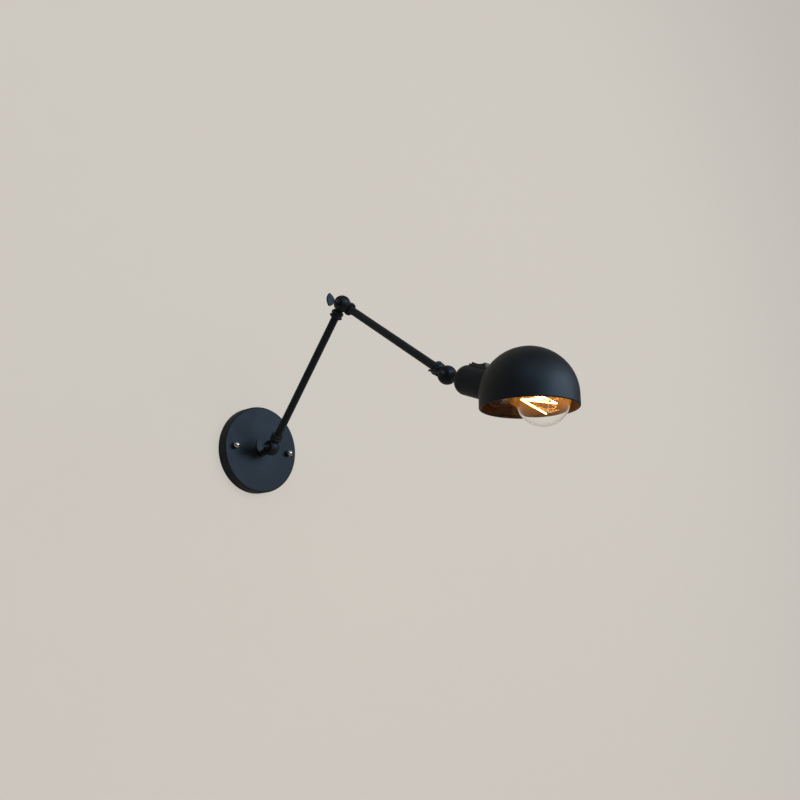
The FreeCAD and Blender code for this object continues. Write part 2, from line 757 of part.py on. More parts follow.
def holder_cap():
    """A cup with a round shoulder. Its mouth follows the dome, a window on top takes the switch, and the nut that
    holds it sits with its corners on the inside of the shoulder."""
    hole, flat = "nipple_diameter / 2 + thread_gap", f"{CAP} - cap_shoulder"
    outside = f"{SHADE_R} + face_gap"
    outline = [
        (hole, "cap_start"),
        (flat, "cap_start"),
        (CAP, "cap_start + cap_shoulder", "cap_shoulder", 1),
        (CAP, on_dome(CAP, outside)),
        (CAP_IN, on_dome(CAP_IN, outside), outside, -1),
        (CAP_IN, "cap_start + cap_shoulder"),
        (flat, "cap_start + cap_wall", "cap_shoulder - cap_wall", -1),
        (hole, "cap_start + cap_wall"),
    ]
    cup = turned("cap_cup", HEAD, outline)
    sizes = (f"{TUB_WIDTH} + 2 * thread_gap", CAP, f"{TUB_LENGTH} + 2 * thread_gap")
    window = block("cap_window", HEAD, sizes, ("0", CAP, f"switch_out - {TUB_LENGTH} / 2 - thread_gap"))
    keep(cut("holder_cap", cup, [window]), "holder_cap")
    over = f"max(nipple_nut_flats / sqrt(3) - ({flat}); 0)"
    lift = f"cap_shoulder - cap_wall - sqrt((cap_shoulder - cap_wall) ^ 2 - {over} ^ 2) + face_gap"
    seat = f"cap_start + cap_wall + {lift}"
    keep(hex_nut("cap_nut", HEAD, "nipple_nut_flats", hole, "nipple_nut_height", z=seat), "cap_nut")


def holder_inside():
    """The insulating core with the contact, the sleeve that carries the shade, and the screw shell."""
    core = turned("core_blank", HEAD, [("0", "core_start"), (SLEEVE, "core_start"), (SLEEVE, CORE_END), ("0", CORE_END)])
    ways = [
        rod(f"core_way_{wire}", HEAD, f"{LEAD} + lead_gap", "core_length", x=f"-{LEAD_SIDE}",
            y=f"{sign}{LEAD_PITCH} / 2", z="core_start - core_length / 2 + face_gap")
        for wire, sign in enumerate(("", "-"))
    ]
    keep(cut("holder_core", core, ways), "holder_core")
    keep(turned("holder_sleeve", HEAD, ring(SLEEVE_IN, SLEEVE, f"{CORE_END} + face_gap", "sleeve_end")), "holder_sleeve")
    low = f"{CORE_END} + face_gap"
    keep(turned("screw_shell", HEAD, ring(SHELL_IN, SHELL, low, f"{low} + shell_length")), "screw_shell")
    tip = f"{CORE_END} + contact_height"
    contact = [
        ("0", CORE_END),
        ("contact_diameter / 2", CORE_END),
        ("contact_diameter / 2", f"{tip} - contact_height / 2"),
        ("contact_diameter / 2 - contact_height / 2", tip, "contact_height / 2", 1),
        ("0", tip),
    ]
    keep(turned("centre_contact", HEAD, contact), "centre_contact")


# Rocker switch
ROCKER = "(rocker_length / 2)"
ROCKER_ROOM = f"({ROCKER} + hole_gap)"
TUB_LENGTH = f"(2 * ({ROCKER_ROOM} + tub_wall))"
TUB_WIDTH = "(rocker_width + 2 * (hole_gap + tub_wall))"
TUB_BOTTOM = "(rocker_pivot - rocker_depth - rocker_room - tub_floor)"


def switch():
    """A tub in the cap's window with a rim round it, and a saddle-shaped rocker on a pin."""
    rim = "2 * bezel_rim"
    tub_height = f"bezel_top - {TUB_BOTTOM}"
    middle = f"{TUB_BOTTOM} + ({tub_height}) / 2"
    start = f"switch_out - {TUB_LENGTH} / 2"
    tub = block("switch_tub", HEAD, (TUB_WIDTH, tub_height, TUB_LENGTH), ("0", middle, start))
    flange_size = (f"{TUB_WIDTH} + {rim}", f"bezel_top - {CAP_IN}", f"{TUB_LENGTH} + {rim}")
    flange_blank = block(
        "switch_flange_blank", HEAD, flange_size, ("0", f"({CAP_IN} + bezel_top) / 2", f"{start} - bezel_rim")
    )
    saddle = rod("switch_saddle", HEAD, f"{CAP} + thread_gap", "switch_out * 2")
    flange = cut("switch_flange", flange_blank, [saddle])
    hollow_size = ("rocker_width + 2 * hole_gap", "bezel_top", f"2 * {ROCKER_ROOM}")
    hollow_middle = f"{TUB_BOTTOM} + tub_floor + bezel_top / 2"
    hollow = block("switch_hollow", HEAD, hollow_size, ("0", hollow_middle, f"switch_out - {ROCKER_ROOM}"))
    pin_length = f"({TUB_WIDTH})"
    bore = pin("rocker_pin_bore", "rocker_pin_diameter / 2 + thread_gap", f"{pin_length} * 2")
    keep(cut("switch_housing", fused("switch_shell", [tub, flange]), [hollow, bore]), "switch_housing")
    keep(pin("rocker_pin", "rocker_pin_diameter / 2", pin_length), "rocker_pin")
    corner_out = f"sqrt({ROCKER} ^ 2 - rocker_corner_height ^ 2)"
    sag = f"(({corner_out}) ^ 2 + rocker_sag ^ 2) / (2 * rocker_sag)"
    outline = [
        ("rocker_corner_height", f"-{corner_out}"),
        ("rocker_corner_height", corner_out, sag, -1),
        ("0", ROCKER, ROCKER, 1),
        ("-rocker_depth", "rocker_foot / 2"),
        ("-rocker_depth", "-rocker_foot / 2"),
        ("0", f"-{ROCKER}"),
        ("rocker_corner_height", f"-{corner_out}", ROCKER, 1),
    ][1:]
    hole = ("0", "0", "rocker_pin_diameter / 2 + thread_gap")
    keep(
        padded("switch_rocker", HEAD, "YZ_Plane", [outline, hole], "rocker_width", midplane=True,
               y="rocker_pivot", z="switch_out", turn="-rocker_throw / 2"),
        "switch_rocker",
    )


def pin(name, radius, length):
    """A bar across the head at the rocker's pivot."""
    circle = ("0", "0", radius)
    return padded(name, HEAD, "YZ_Plane", [circle], length, midplane=True, y="rocker_pivot", z="switch_out")


def shade():
    """A dome with a straight skirt and a rolled bead, cut by the holder, and the ring that clamps it."""
    inner, lip, bead = f"{SHADE_R} - shade_sheet", "-shade_skirt", "(shade_bead / 2)"
    outline = [
        ("0", inner),
        ("0", SHADE_R),
        (SHADE_R, "0", SHADE_R, -1),
        (SHADE_R, lip),
        (f"{SHADE_R} - shade_bead", lip, bead, -1),
        (inner, f"{lip} + {bead} * sqrt(1 - (1 - shade_sheet / {bead}) ^ 2)", bead, -1),
        (inner, "0"),
        ("0", inner, inner, 1),
    ][1:]
    dome = turned("shade_dome", SHADE, outline)
    hole = rod("shade_hole", HEAD, f"{SLEEVE} + 2 * thread_gap", "shade_out - cap_start", z="cap_start")
    keep(cut("shade", dome, [hole]), "shade")
    seat = f"{SHADE_R} - shade_sheet - face_gap"
    bore, rim = f"{SLEEVE} + thread_gap", "ring_diameter / 2"
    end = f"{on_dome(rim, seat)} + ring_height"
    clamp = [
        (bore, on_dome(bore, seat)),
        (rim, on_dome(rim, seat), seat, 1),
        (rim, end),
        (bore, end),
    ]
    keep(turned("shade_ring", HEAD, clamp), "shade_ring")


# Bulb
BULB_START = f"({CORE_END} + contact_height + face_gap)"
BULB_R = "(bulb_diameter / 2)"
BULB_MIDDLE = f"({BULB_START} + bulb_length - {BULB_R})"
BULB_CAP = f"({SHELL_IN} - 2 * thread_gap)"
CAP_MOUTH = f"({BULB_START} + bulb_cap_length)"
NECK_FOOT = f"({CAP_MOUTH} - bulb_cap_overlap)"
FLARE = f"(({BULB_R} * cos(bulb_shoulder) - bulb_neck_diameter / 2) / (1 - cos(bulb_shoulder)))"
STEM_TOP = f"({NECK_FOOT} + stem_flare + stem_length)"


def bulb_wall(inset):
    """One side of the glass, from its foot to its crown: a neck that flares into a ball."""
    ball, flare = f"({BULB_R} - {inset})", f"({FLARE} + {inset})"
    neck = f"(bulb_neck_diameter / 2 - {inset})"
    shoulder = f"{BULB_MIDDLE} - {ball} * sin(bulb_shoulder)"
    return [
        (neck, NECK_FOOT),
        (neck, f"{shoulder} - {flare} * sin(bulb_shoulder)"),
        (f"{ball} * cos(bulb_shoulder)", shoulder, flare, -1),
        ("0", f"{BULB_MIDDLE} + {ball}", ball, 1),
    ]


def bulb_base():
    """The screw cap, its glass insulator and the solder button under it."""
    button_top = f"{BULB_START} + bulb_button"
    cap_foot = f"{button_top} + bulb_insulator"
    button = [
        ("0", BULB_START),
        ("bulb_button_diameter / 2 - bulb_button", BULB_START),
        ("bulb_button_diameter / 2", button_top, "bulb_button", 1),
        ("0", button_top),
    ]
    keep(turned("bulb_button", HEAD, button), "bulb_button")
    insulator = [
        ("0", button_top),
        ("bulb_button_diameter / 2", button_top),
        ("bulb_insulator_diameter / 2", cap_foot),
        ("0", cap_foot),
    ]
    keep(turned("bulb_insulator", HEAD, insulator), "bulb_insulator")
    inner, chamfer = f"{BULB_CAP} - bulb_cap_sheet", "bulb_cap_chamfer"
    shell = [
        ("0", cap_foot),
        (f"{BULB_CAP} - {chamfer}", cap_foot),
        (BULB_CAP, f"{cap_foot} + {chamfer}"),
        (BULB_CAP, CAP_MOUTH),
        (inner, CAP_MOUTH),
        (inner, f"{cap_foot} + {chamfer}"),
        (f"{inner} - {chamfer}", f"{cap_foot} + bulb_cap_sheet"),
        ("0", f"{cap_foot} + bulb_cap_sheet"),
    ]
    keep(turned("bulb_cap", HEAD, shell), "bulb_cap")


def bulb_glass():
    """The clear envelope and the stem inside its neck."""
    outside, inside = bulb_wall("0"), bulb_wall("bulb_glass")
    foot, waist, ball, crown = inside
    back = [crown[:2], (*ball[:2], *crown[2:3], -1), (*waist, *ball[2:3], 1), foot]
    keep(turned("bulb_glass", HEAD, outside + back), "bulb_glass")
    stem, rod_r = "stem_diameter / 2", "filament_rod_diameter / 2"
    flare = "bulb_neck_diameter / 2 - bulb_glass - face_gap"
    outline = [
        ("0", NECK_FOOT),
        (flare, NECK_FOOT),
        (flare, f"{NECK_FOOT} + stem_flare"),
        (stem, f"{NECK_FOOT} + stem_flare"),
        (stem, f"{STEM_TOP} - {stem}"),
        (rod_r, STEM_TOP),
        (rod_r, f"{NECK_FOOT} + filament_high + hook_diameter"),
        ("0", f"{NECK_FOOT} + filament_high + hook_diameter"),
    ]
    keep(turned("bulb_stem", HEAD, outline), "bulb_stem")


def filament_star(name, height, radius, first_angle):
    """A small collar on the glass rod with fine hooks that reach out to the filament's bends."""
    body = new_body(name, HEAD)
    bore = "(filament_rod_diameter / 2 + face_gap)"
    level = f"({NECK_FOOT} + {height})"
    collar = ring(bore, f"{bore} + hook_diameter", f"{level} - hook_diameter", f"{level} + hook_diameter")
    turn(body, "Revolution", collar)
    sketch = draw(body, "YZ_Plane", ("0", level, "hook_diameter / 2"))
    away = FreeCAD.Rotation(FreeCAD.Vector(0, 1, 0), first_angle)
    sketch.AttachmentOffset = FreeCAD.Placement(FreeCAD.Vector(), away)
    start = f"({bore} + hook_diameter / 2)"
    radial = math.radians(first_angle)
    bind(sketch, "AttachmentOffset.Base.x", f"{math.sin(radial)} * {start}")
    bind(sketch, "AttachmentOffset.Base.z", f"{math.cos(radial)} * {start}")
    hook = body.newObject("PartDesign::Pad", f"{name}_hook")
    hook.Profile = sketch
    bind(hook, "Length", f"{radius} - {start} - filament_diameter / 2 - face_gap")
    star = body.newObject("PartDesign::PolarPattern", f"{name}_hooks")
    star.Originals = [hook]
    star.Axis = (next(item for item in body.Origin.OriginFeatures if item.Role == "Z_Axis"), [""])
    star.Angle = 360
    bind(star, "Occurrences", "filament_hooks")
    body.Tip = star
    return body


def filament_support():
    low = filament_star("low_star", "filament_low", "filament_low_radius", 180 / number("filament_hooks"))
    high = filament_star("high_star", "filament_high", "filament_high_radius", 0)
    keep(group("filament_support", [low, high]), "filament_support")


def filament():
    """One wire that zigzags between the low and the high hooks, open where its two ends meet the stem."""
    hooks = int(number("filament_hooks"))
    wire = number("filament_diameter / 2")
    split = number("filament_lead_split")
    bends = []
    for step in range(2 * hooks + 1):
        level, reach = ("filament_high", "filament_high_radius") if step % 2 else ("filament_low", "filament_low_radius")
        shift = {0: split, 2 * hooks: -split}.get(step, 0)
        angle = math.radians(180 / hooks * (step - 1) + shift)
        around = FreeCAD.Vector(math.cos(angle), math.sin(angle), 0) * number(reach)
        bends.append(around + FreeCAD.Vector(0, 0, number(f"{NECK_FOOT} + {level}")))
    strands = [
        Part.makeCylinder(wire, (end - start).Length, start, end - start) for start, end in zip(bends, bends[1:])
    ]
    knees = [Part.makeSphere(wire, bend) for bend in bends]
    feature = doc.addObject("Part::Feature", "bulb_filament")
    feature.Shape = strands[0].multiFuse(strands[1:] + knees)
    place(feature, HEAD)
    keep(feature, "bulb_filament")


def write_parts():
    """Checks every object of the document and each sub-part's shape, then writes the sub-parts."""
    failed = [item.Label for item in doc.Objects if {"Invalid", "Error"} & set(item.State)]
    failed += [item.Label for item in SUBPARTS if item.Shape.isNull() or not item.Shape.isValid()]
    if failed:
        raise RuntimeError(f"not built: {', '.join(failed)}")
    os.makedirs("parts", exist_ok=True)
    for item in SUBPARTS:
        item.Shape.exportStep(f"parts/{item.Label}.step")
        print(f"{item.Label}: {len(item.Shape.Solids)} solids, {item.Shape.Volume:.1f} cubic mm")


mounting_bar()
wall_studs()
wall_plate()
earth_screw()
terminal()
swivel_stem()
ball_joints()
holder_cap()
holder_inside()
switch()
shade()
bulb_base()
bulb_glass()
filament_support()
filament()
doc.recompute()
write_parts()
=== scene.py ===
import json
from math import asin, cos, degrees, pi, radians, sin, sqrt

import bmesh
import bpy
from mathutils import Matrix, Vector


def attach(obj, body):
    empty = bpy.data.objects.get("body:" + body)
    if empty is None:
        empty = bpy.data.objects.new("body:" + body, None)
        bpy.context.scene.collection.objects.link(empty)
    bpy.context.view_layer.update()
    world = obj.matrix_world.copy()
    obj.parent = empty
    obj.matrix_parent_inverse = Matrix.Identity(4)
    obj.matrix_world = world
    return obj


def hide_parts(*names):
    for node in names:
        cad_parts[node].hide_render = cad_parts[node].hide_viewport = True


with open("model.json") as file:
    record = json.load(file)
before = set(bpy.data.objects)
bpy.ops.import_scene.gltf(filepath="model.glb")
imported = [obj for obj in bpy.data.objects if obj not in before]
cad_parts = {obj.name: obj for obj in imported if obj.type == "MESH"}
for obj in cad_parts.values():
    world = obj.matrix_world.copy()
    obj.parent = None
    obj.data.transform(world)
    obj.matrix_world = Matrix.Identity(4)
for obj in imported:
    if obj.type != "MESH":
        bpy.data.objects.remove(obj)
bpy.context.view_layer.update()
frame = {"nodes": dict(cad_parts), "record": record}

# Sizes of the lamp in millimetres and degrees. The wall is the plane y = 0, and the lamp stands out of it
# towards -y.
MM = 0.001
FACE_GAP = 0.05
PLATE_R = 60
PLATE_DEPTH = 16.3
PLATE_SHEET = 1.5
PLATE_EDGE = 2.5
STUD_OFFSET = 45
PIVOT_OUT = 39.3
ARM_LENGTH = 221.9
LOWER_RISE = 51
UPPER_RISE = -36.15
HOLDER_RISE = -21.5
SHADE_OUT = 117.5
SHADE_R = 51.2
SHADE_SKIRT = 11.6
SHADE_SHEET = 1.4
BEAD_R = 1.2
HEAD_THUMB_TURN = -71
SWITCH_OUT = 44
ROCKER_PIVOT = 17
ROCKER_TILT = -8
CAP_START = 20.4
CAP_R = 16.75
CAP_WALL = 1.5
CAP_SHOULDER = 11
SLEEVE_R = 15.2
SLEEVE_IN = 13.8
SLEEVE_START = 63.05
SLEEVE_END = 90
NECK_FOOT = 85.95
BULB_R = 27.5
BULB_NECK = 12.6
BULB_MIDDLE = 135.55
BULB_SHOULDER = 40
BULB_GLASS = 0.8
FILAMENT_HOOKS = 4
FILAMENT_LOW = 27
FILAMENT_LOW_R = 8
FILAMENT_HIGH = 58
FILAMENT_HIGH_R = 13
FILAMENT_SPLIT = 12
FILAMENT_THICK = 1.4
FEED_THICK = 0.5
STEM_PINCH = 105
BEZEL_X = 5.6
BEZEL_Z = 12.1
BEZEL_TOP = 18.3
BEZEL_RIM = 0.4
BEZEL_WALL = 1.3
TUB_DEPTH = 7

ELBOW_OUT = PIVOT_OUT + ARM_LENGTH * cos(radians(LOWER_RISE))
ELBOW_UP = ARM_LENGTH * sin(radians(LOWER_RISE))
HEAD_OUT = ELBOW_OUT + ARM_LENGTH * cos(radians(UPPER_RISE))
HEAD_UP = ELBOW_UP + ARM_LENGTH * sin(radians(UPPER_RISE))
SHADE_AT = SHADE_OUT * cos(radians(HOLDER_RISE)) + HEAD_OUT
SHADE_UP = SHADE_OUT * sin(radians(HOLDER_RISE)) + HEAD_UP


def spot(out, up, tilt):
    """A place in the lamp's middle plane, with z turned from straight up towards the room, in millimetres."""
    there = Matrix.Translation((0, -out * MM, up * MM))
    return there @ Matrix.Rotation(radians(tilt), 4, "X") @ Matrix.Scale(MM, 4)


def moved(x=0, y=0, z=0):
    return Matrix.Translation((x, y, z))


WALL = spot(0, 0, 90)
HEAD = spot(HEAD_OUT, HEAD_UP, 90 - HOLDER_RISE)
SHADE = spot(SHADE_AT, SHADE_UP, 0)
PIVOTS = {
    "base": spot(PIVOT_OUT, 0, 0),
    "elbow": spot(ELBOW_OUT, ELBOW_UP, 0),
    "head": spot(HEAD_OUT, HEAD_UP, HEAD_THUMB_TURN),
}


# Finishes
class Value:
    """A number that changes over a surface. Sums and products with it become the finish's own nodes."""

    def __init__(self, finish, socket):
        self.finish = finish
        self.socket = socket

    def combine(self, operation, other):
        return self.finish.node("Math", {"operation": operation}, {0: self, 1: other}, "Value")

    def __add__(self, other):
        return self.combine("ADD", other)

    def __mul__(self, other):
        return self.combine("MULTIPLY", other)

    __radd__ = __add__
    __rmul__ = __mul__


class Finish:
    """One finish: a material, or the studio's air, built node by node."""

    def __init__(self, name, kind=bpy.data.materials):
        self.made = kind.new(name)
        self.made.use_nodes = True
        self.tree = self.made.node_tree
        self.tree.nodes.clear()

    def node(self, kind, settings, sockets, output=None):
        """Adds a node, sets it up, fills its sockets with values or links, and gives one output back."""
        made = self.tree.nodes.new("ShaderNode" + kind)
        for name, value in settings.items():
            setattr(made, name, value)
        for name, value in sockets.items():
            socket = made.inputs[name] if isinstance(name, int) else self.find(made.inputs, name)
            if isinstance(value, Value):
                self.tree.links.new(value.socket, socket)
            else:
                socket.default_value = value
        return output and Value(self, self.find(made.outputs, output))

    @staticmethod
    def find(sockets, name):
        return next(socket for socket in sockets if name in (socket.identifier, socket.name))

    def place(self, stretch=None):
        """Where on the lamp a point is, in metres, stretched along the axes where a pattern runs."""
        here = self.node("TexCoord", {}, {}, "Object")
        if stretch is None:
            return here
        return self.node("Mapping", {}, {"Vector": here, "Scale": stretch}, "Vector")

    def noise(self, size, detail=2, rough=0.5, stretch=None):
        """Soft irregular patches of about a size in millimetres, from 0 to 1."""
        here = self.place(stretch)
        sockets = {"Vector": here, "Scale": 1 / (size * MM), "Detail": detail, "Roughness": rough}
        return self.node("TexNoise", {}, sockets, "Fac")

    def spread(self, value, low, high):
        """Stretches the part of a value between low and high to the whole range 0 to 1."""
        sockets = {"Value": value, "From Min": low, "From Max": high}
        return self.node("MapRange", {"clamp": True}, sockets, "Result")

    def blend(self, share, first, second):
        """A colour between two colours."""
        sockets = {"Factor_Float": share, "A_Color": (*first, 1), "B_Color": (*second, 1)}
        return self.node("Mix", {"data_type": "RGBA"}, sockets, "Result_Color")

    def relief(self, height, depth, strength):
        """A normal bent by a height whose full range is a depth in millimetres."""
        sockets = {"Height": height, "Distance": depth * MM, "Strength": strength}
        return self.node("Bump", {}, sockets, "Normal")

    def surface(self, **sockets):
        named = {name.replace("_", " "): value for name, value in sockets.items()}
        return self.node("BsdfPrincipled", {}, named, "BSDF")

    def mixed(self, share, first, second):
        """One shader that gives way to another where the share is 1."""
        return self.node("MixShader", {}, {0: share, 1: first, 2: second}, "Shader")

    def done(self, shader, end="OutputMaterial"):
        self.node(end, {}, {"Surface": shader})
        return self.made


def black_paint():
    """Satin black powder coat: a fine orange peel, and wide patches that are a little paler and duller."""
    coat = Finish("satin_black_coat")
    peel = coat.noise(size=1.0, detail=1)
    grain = coat.noise(size=0.4, detail=1)
    patches = coat.spread(coat.noise(size=26, detail=4, rough=0.6), low=0.35, high=0.7)
    return coat.done(coat.surface(
        Base_Color=coat.blend(patches, (0.0058, 0.0060, 0.0068), (0.0080, 0.0082, 0.0092)),
        Roughness=0.46 + patches * 0.07 + grain * 0.06,
        Specular_IOR_Level=0.37,
        Specular_Tint=(0.55, 0.76, 1.0, 1),
        Normal=coat.relief(peel * 0.6 + grain * 0.4, depth=0.09, strength=0.6),
    ))


def metal(name, light, dark, shine, streak=None, size=1.5, depth=0.01):
    """A bare metal with fine tool marks, and dull patches where it has been handled."""
    bare = Finish(name)
    marks = bare.noise(size, detail=3, rough=0.6, stretch=streak)
    dull = bare.spread(bare.noise(size=9, detail=3), low=0.4, high=0.75)
    return bare.done(bare.surface(
        Base_Color=bare.blend(dull * 0.6 + marks * 0.4, light, dark),
        Metallic=1.0,
        Roughness=shine + dull * 0.1 + marks * 0.08,
        Normal=bare.relief(marks, depth, strength=0.35),
    ))


def moulded(name, light, dark, shine, size=0.5, depth=0.015, speckle=0.0):
    """A moulded or pressed insulator with a fine skin and slightly uneven colour."""
    body = Finish(name)
    skin = body.noise(size)
    cloud = body.noise(size=7, detail=3)
    flecks = body.spread(body.noise(size=0.9, rough=0.7), low=0.62, high=0.72) * speckle
    return body.done(body.surface(
        Base_Color=body.blend(cloud * (1 - speckle) + flecks, light, dark),
        Roughness=shine + cloud * 0.1 + skin * 0.05,
        Normal=body.relief(skin, depth, strength=0.4),
    ))


def clear_glass(name):
    """Thin blown glass: faint waves in its wall, and a painted golden glow (emission on the glass, standing
    in for light) that fades out below the shade's lip and towards the neck. Light from inside passes straight
    through."""
    below_lip, above_lip, bloom_start, bloom_full = 9, 4, 6, 30
    glass = Finish(name)
    waves = glass.noise(size=14)
    # Masks for the painted glow: it is strongest above the shade's lip and away from the neck.
    height = glass.node("SeparateXYZ", {}, {"Vector": glass.place()}, "Z")
    lip = SHADE_UP - SHADE_SKIRT
    painted_glow_height = glass.spread(height, (lip - below_lip) * MM, (lip + above_lip) * MM)
    axis = HEAD.col[2].xyz / MM
    reach = glass.node("VectorMath", {"operation": "DOT_PRODUCT"}, {0: glass.place(), 1: axis}, "Value")
    neck = HEAD.translation.dot(axis) + NECK_FOOT * MM
    painted_glow_reach = glass.spread(reach, neck + bloom_start * MM, neck + bloom_full * MM)
    solid = glass.surface(
        Base_Color=glass.blend(waves, (1.0, 0.99, 0.97), (0.97, 0.98, 0.97)),
        Roughness=waves * 0.02,
        IOR=1.30,
        Transmission_Weight=1.0,
        Normal=glass.relief(waves, depth=0.06, strength=0.25),
        # Painted glow: warm emission on the glass stands in for the lit inside of the shade and the camera's
        # bloom.
        Emission_Color=glass.blend(painted_glow_height * painted_glow_reach, (0, 0, 0), (0.118, 0.040, 0.004)),
        Emission_Strength=1.0,
    )
    through = glass.node("BsdfTransparent", {}, {"Color": (0.97, 0.96, 0.94, 1)}, "BSDF")
    shadow = glass.node("LightPath", {}, {}, "Is Shadow Ray")
    return glass.done(glass.mixed(shadow, solid, through))


def glowing_wire():
    """Tungsten at work: white hot along the strands, a little cooler in places."""
    wire = Finish("glowing_wire")
    heat = wire.noise(size=4)
    return wire.done(wire.surface(
        Base_Color=wire.blend(heat, (0.3, 0.2, 0.1), (0.5, 0.35, 0.2)),
        Roughness=0.5 + heat * 0.1,
        Emission_Color=wire.blend(heat, (1.0, 0.50, 0.14), (1.0, 0.62, 0.24)),
        Emission_Strength=12.0,
    ))


FINISHES = {
    "black_paint": black_paint(),
    "zinc_steel": metal(
        "zinc_plate", (0.60, 0.61, 0.61), (0.42, 0.42, 0.40), shine=0.30, streak=(1, 1, 6), size=1.2,
    ),
    "chrome": metal("bright_chrome", (0.44, 0.45, 0.47), (0.36, 0.37, 0.39), shine=0.07, size=3, depth=0.003),
    "brass": metal("turned_brass", (0.70, 0.50, 0.21), (0.46, 0.31, 0.12), shine=0.24, streak=(1, 8, 1)),
    "terminal_plastic": moulded("ivory_plastic", (0.72, 0.69, 0.60), (0.62, 0.58, 0.47), shine=0.42),
    "lead_cover": moulded("lead_sleeve", (0.026, 0.026, 0.028), (0.04, 0.038, 0.036), shine=0.48, size=0.8),
    "fibre": moulded(
        "pressed_fibre", (0.085, 0.042, 0.028), (0.045, 0.025, 0.018), shine=0.62, size=0.4, depth=0.04,
        speckle=0.5,
    ),
    "porcelain": moulded(
        "glazed_white", (0.78, 0.76, 0.71), (0.70, 0.67, 0.60), shine=0.16, size=1.6, depth=0.01,
    ),
    "holder_plastic": moulded(
        "holder_black", (0.017, 0.016, 0.015), (0.03, 0.027, 0.024), shine=0.34, size=0.6, depth=0.02,
        speckle=0.3,
    ),
    "shell_metal": metal("drawn_alloy", (0.66, 0.64, 0.60), (0.50, 0.48, 0.44), shine=0.26, streak=(1, 1, 5)),
    "switch_plastic": moulded(
        "switch_black", (0.014, 0.014, 0.0145), (0.021, 0.021, 0.021), shine=0.36, size=0.45, depth=0.01,
    ),
    "solder": metal("solder_grey", (0.50, 0.50, 0.52), (0.36, 0.36, 0.38), shine=0.40, size=0.8, depth=0.06),
    "clear_glass": clear_glass("bulb_clear"),
    "support_wire": metal("support_nickel", (0.56, 0.53, 0.48), (0.36, 0.33, 0.29), shine=0.30, size=0.5),
    "filament_wire": glowing_wire(),
}

for row in frame["record"]["subparts"]:
    skin = frame["nodes"][row["node"]].data.materials
    skin.clear()
    skin.append(FINISHES[row["material_slot"]])


# Shaping
ARC_STEP = 6
WELD = 1e-3
SLIVER = 1e-4
SMOOTH_BELOW = radians(32)
RIM_ABOVE = radians(40)


def all_of(bm):
    return bm.verts[:] + bm.edges[:] + bm.faces[:]


def corners_in(made):
    """The corners among what an operator has made."""
    return [item for item in made if isinstance(item, bmesh.types.BMVert)]


def open_edges(bm):
    return [edge for edge in bm.edges if edge.is_boundary]


def rim_edges(bm):
    """The edges where two faces meet at a clear angle."""
    return [edge for edge in bm.edges if edge.calc_face_angle(0) > RIM_ABOVE]


def outline(bm, start, *moves, closed=True):
    """Draws a line in the xz plane. A move is (x, z) for a straight run, or (x, z, bend) for an arc about
    that centre, anticlockwise where the bend is positive."""
    first = tip = bm.verts.new((start[0], 0, start[1]))
    for move in moves:
        if len(move) == 2:
            tip = bmesh.ops.extrude_vert_indiv(bm, verts=[tip])["verts"][0]
            tip.co = (move[0], 0, move[1])
        else:
            x, z, bend = move
            steps = max(2, round(abs(bend) / ARC_STEP))
            swung = bmesh.ops.spin(
                bm, geom=[tip], cent=(x, 0, z), axis=(0, -1, 0), angle=radians(bend), steps=steps
            )
            tip = corners_in(swung["geom_last"])[0]
    if closed:
        bm.edges.new((tip, first))


def bow(start, end, radius, way):
    """The arc of a radius from start to end: its centre and its bend, anticlockwise (1) or clockwise (-1)."""
    chord = Vector(end) - Vector(start)
    rise = sqrt(max(radius ** 2 - chord.length_squared / 4, 0))
    side = Vector((-chord.y, chord.x)).normalized() * way * rise
    middle = (Vector(start) + Vector(end)) / 2 + side
    return (middle.x, middle.y, way * 2 * degrees(asin(min(chord.length / 2 / radius, 1))))


def seal(bm):
    """Closes seams and poles and turns the faces outwards."""
    bmesh.ops.remove_doubles(bm, verts=bm.verts[:], dist=WELD)
    bmesh.ops.dissolve_degenerate(bm, edges=bm.edges[:], dist=SLIVER)
    bmesh.ops.recalc_face_normals(bm, faces=bm.faces[:])


def turn(bm, steps):
    """Turns everything drawn so far once round the z axis."""
    bmesh.ops.spin(
        bm, geom=all_of(bm), cent=(0, 0, 0), axis=(0, 0, 1), angle=2 * pi, steps=steps, use_merge=True
    )
    seal(bm)


def slab(bm, depth):
    """Fills the closed line drawn so far and gives it a depth along y, half to each side."""
    face = bmesh.ops.contextual_create(bm, geom=bm.edges[:])["faces"][0]
    pulled = bmesh.ops.extrude_face_region(bm, geom=[face])["geom"]
    bmesh.ops.translate(bm, verts=corners_in(pulled), vec=(0, depth, 0))
    bmesh.ops.translate(bm, verts=bm.verts[:], vec=(0, -depth / 2, 0))
    bmesh.ops.recalc_face_normals(bm, faces=bm.faces[:])


def ease(bm, edges, size, segments):
    """Rounds edges."""
    bmesh.ops.bevel(
        bm, geom=edges, offset=size, offset_type="OFFSET", segments=segments, profile=0.5, affect="EDGES",
        material=-1, clamp_overlap=True,
    )


def join(bm, other):
    """Adds a second shape to a shape, and uses it up."""
    carrier = bpy.data.meshes.new("carrier")
    other.to_mesh(carrier)
    other.free()
    bm.from_mesh(carrier)
    bpy.data.meshes.remove(carrier)


def put(name, data):
    """Puts a mesh, a lamp or a camera into the scene."""
    made = bpy.data.objects.new(name, data)
    bpy.context.scene.collection.objects.link(made)
    return made


def cast(name, bm, finish):
    """Turns a drawn shape into an object of one finish."""
    mesh = bpy.data.meshes.new(name)
    bm.to_mesh(mesh)
    bm.free()
    mesh.materials.append(finish)
    return put(name, mesh)


def piece(name, bm, where, slot, body, *stands_for):
    """Makes a finished piece of a shape drawn in millimetres, in its place and on its body."""
    bm.transform(where)
    for face in bm.faces:
        face.smooth = True
    for edge in bm.edges:
        edge.smooth = edge.calc_face_angle(0) < SMOOTH_BELOW
    made = cast(name, bm, FINISHES[slot])
    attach(made, body)
    if stands_for:
        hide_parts(*stands_for)
    return made


def weigh(made):
    """Keeps large flat faces flat beside rounded edges."""
    settings = made.modifiers.new("flat_faces", "WEIGHTED_NORMAL")
    settings.keep_sharp = True


